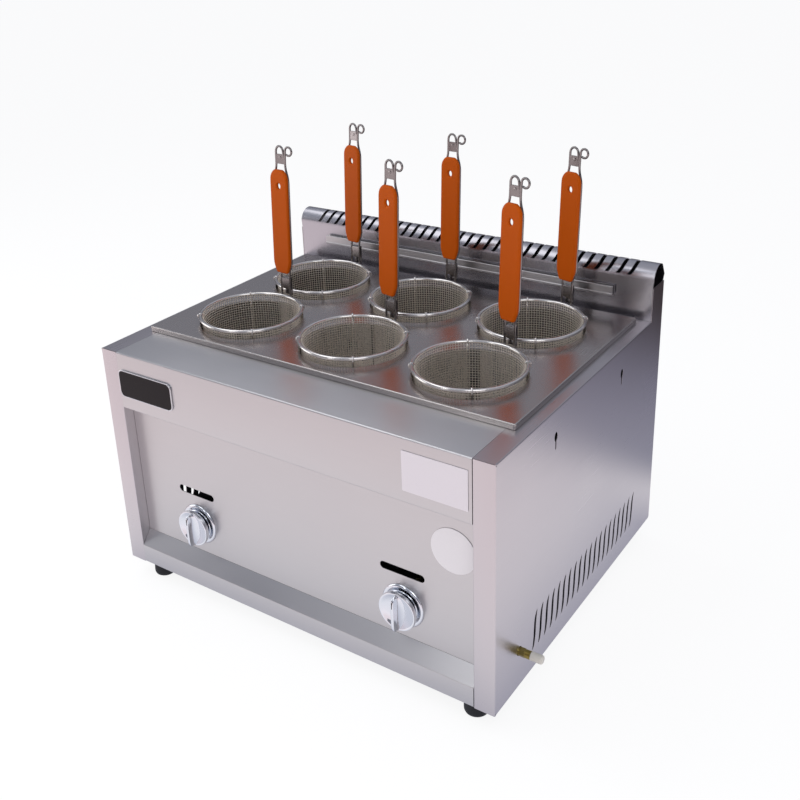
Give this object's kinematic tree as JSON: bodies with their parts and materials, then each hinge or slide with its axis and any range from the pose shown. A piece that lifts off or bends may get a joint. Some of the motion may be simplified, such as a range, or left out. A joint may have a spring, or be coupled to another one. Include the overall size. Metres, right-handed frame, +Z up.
{
  "type": "gas pasta cooker",
  "caption": "Countertop gas pasta cooker with a water tank under a lift-off cover, round wire baskets with long upright handles, turn knobs and a slotted rear flue hood.",
  "frame": {"origin": "middle of the bounding box, on the surface that the feet stand on", "axes": "+Z up, the front with the knobs faces -Y, +X to the right as seen from the front"},
  "size_m": [0.6202, 0.526, 0.5881],
  "materials": {
    "brushed_stainless": "fine horizontal brushed grain",
    "dark_stainless": "polished sheet with a light grain",
    "basket_wire": "bright drawn wire",
    "basket_mesh": "woven wire mesh",
    "grip_plastic": "smooth heat-resistant plastic",
    "knob_chrome": "bright chrome plate",
    "brass": "plain machined brass",
    "burner_iron": "rough cast iron",
    "foot_rubber": "matt black rubber",
    "badge_plastic": "gloss black with a thin bright border",
    "cap_plastic": "milky white plastic",
    "silver_foil": "bare satin foil",
    "galvanised_steel": "dull zinc coat",
    "igniter_ceramic": "glazed white ceramic",
    "lever_vinyl": "dipped red vinyl"
  },
  "bodies": {
    "cabinet": {"left_side_panel": "brushed_stainless", "right_side_panel": "brushed_stainless", "front_fascia": "brushed_stainless", "control_panel": "brushed_stainless", "bottom_rail": "brushed_stainless", "back_panel": "brushed_stainless", "flue_hood": "brushed_stainless", "hanging_rail": "brushed_stainless", "water_tank": "dark_stainless", "basket_rack": "dark_stainless", "drain_pipe": "dark_stainless", "base_plate": "galvanised_steel", "burner_tray": "galvanised_steel", "gas_manifold": "galvanised_steel", "inlet_fitting": "brass", "drain_valve": "brass", "badge_plate": "badge_plastic", "label_plate": "silver_foil", "round_sticker": "silver_foil", "left_burner": "burner_iron", "left_igniter": "igniter_ceramic", "left_knob_bezel": "knob_chrome", "left_valve_body": "brass", "right_burner": "burner_iron", "right_igniter": "igniter_ceramic", "right_knob_bezel": "knob_chrome", "right_valve_body": "brass", "foot_front_left": "foot_rubber", "foot_front_right": "foot_rubber", "foot_rear_left": "foot_rubber", "foot_rear_right": "foot_rubber"},
    "cover": {"tank_cover": "dark_stainless"},
    "inlet_cap": {"inlet_cap": "cap_plastic"},
    "drain_lever": {"drain_lever": "lever_vinyl"},
    "basket_1": {"basket_1_frame": "basket_wire", "basket_1_cup": "basket_mesh", "basket_1_grip": "grip_plastic"},
    "basket_2": {"basket_2_frame": "basket_wire", "basket_2_cup": "basket_mesh", "basket_2_grip": "grip_plastic"},
    "basket_3": {"basket_3_frame": "basket_wire", "basket_3_cup": "basket_mesh", "basket_3_grip": "grip_plastic"},
    "basket_4": {"basket_4_frame": "basket_wire", "basket_4_cup": "basket_mesh", "basket_4_grip": "grip_plastic"},
    "basket_5": {"basket_5_frame": "basket_wire", "basket_5_cup": "basket_mesh", "basket_5_grip": "grip_plastic"},
    "basket_6": {"basket_6_frame": "basket_wire", "basket_6_cup": "basket_mesh", "basket_6_grip": "grip_plastic"},
    "left_push_pin": {"left_valve_plunger": "brass"},
    "left_knob": {"left_knob": "knob_chrome", "left_valve_stem": "brass"},
    "right_push_pin": {"right_valve_plunger": "brass"},
    "right_knob": {"right_knob": "knob_chrome", "right_valve_stem": "brass"}
  },
  "joints": [
    {"name": "cover_lift", "type": "slide", "parent": "cabinet", "child": "cover", "axis": [0, 0, 1], "range_m": [0, 0.2]},
    {"name": "basket_1_lift", "type": "slide", "parent": "cover", "child": "basket_1", "axis": [0, 0, 1], "range_m": [0, 0.18]},
    {"name": "basket_2_lift", "type": "slide", "parent": "cover", "child": "basket_2", "axis": [0, 0, 1], "range_m": [0, 0.18]},
    {"name": "basket_3_lift", "type": "slide", "parent": "cover", "child": "basket_3", "axis": [0, 0, 1], "range_m": [0, 0.18]},
    {"name": "basket_4_lift", "type": "slide", "parent": "cover", "child": "basket_4", "axis": [0, 0, 1], "range_m": [0, 0.18]},
    {"name": "basket_5_lift", "type": "slide", "parent": "cover", "child": "basket_5", "axis": [0, 0, 1], "range_m": [0, 0.18]},
    {"name": "basket_6_lift", "type": "slide", "parent": "cover", "child": "basket_6", "axis": [0, 0, 1], "range_m": [0, 0.18]},
    {"name": "left_knob_push", "type": "slide", "parent": "cabinet", "child": "left_push_pin", "axis": [0, 1, 0], "range_m": [0, 0.003], "stiffness_N_per_m": 1500, "springref_m": -0.002},
    {"name": "left_knob_turn", "type": "hinge", "parent": "left_push_pin", "child": "left_knob", "pos_m": [-0.17905, -0.2548, 0.1179], "axis": [0, -1, 0], "range_deg": [0, 120]},
    {"name": "right_knob_push", "type": "slide", "parent": "cabinet", "child": "right_push_pin", "axis": [0, 1, 0], "range_m": [0, 0.003], "stiffness_N_per_m": 1500, "springref_m": -0.002},
    {"name": "right_knob_turn", "type": "hinge", "parent": "right_push_pin", "child": "right_knob", "pos_m": [0.14895, -0.2548, 0.1179], "axis": [0, -1, 0], "range_deg": [0, 120]},
    {"name": "inlet_cap_pull", "type": "slide", "parent": "cabinet", "child": "inlet_cap", "axis": [1, 0, 0], "range_m": [0, 0.03]},
    {"name": "drain_lever_turn", "type": "hinge", "parent": "cabinet", "child": "drain_lever", "pos_m": [-0.19705, 0.245, 0.0284], "axis": [0, 0, 1], "range_deg": [0, 90]}
  ]
}
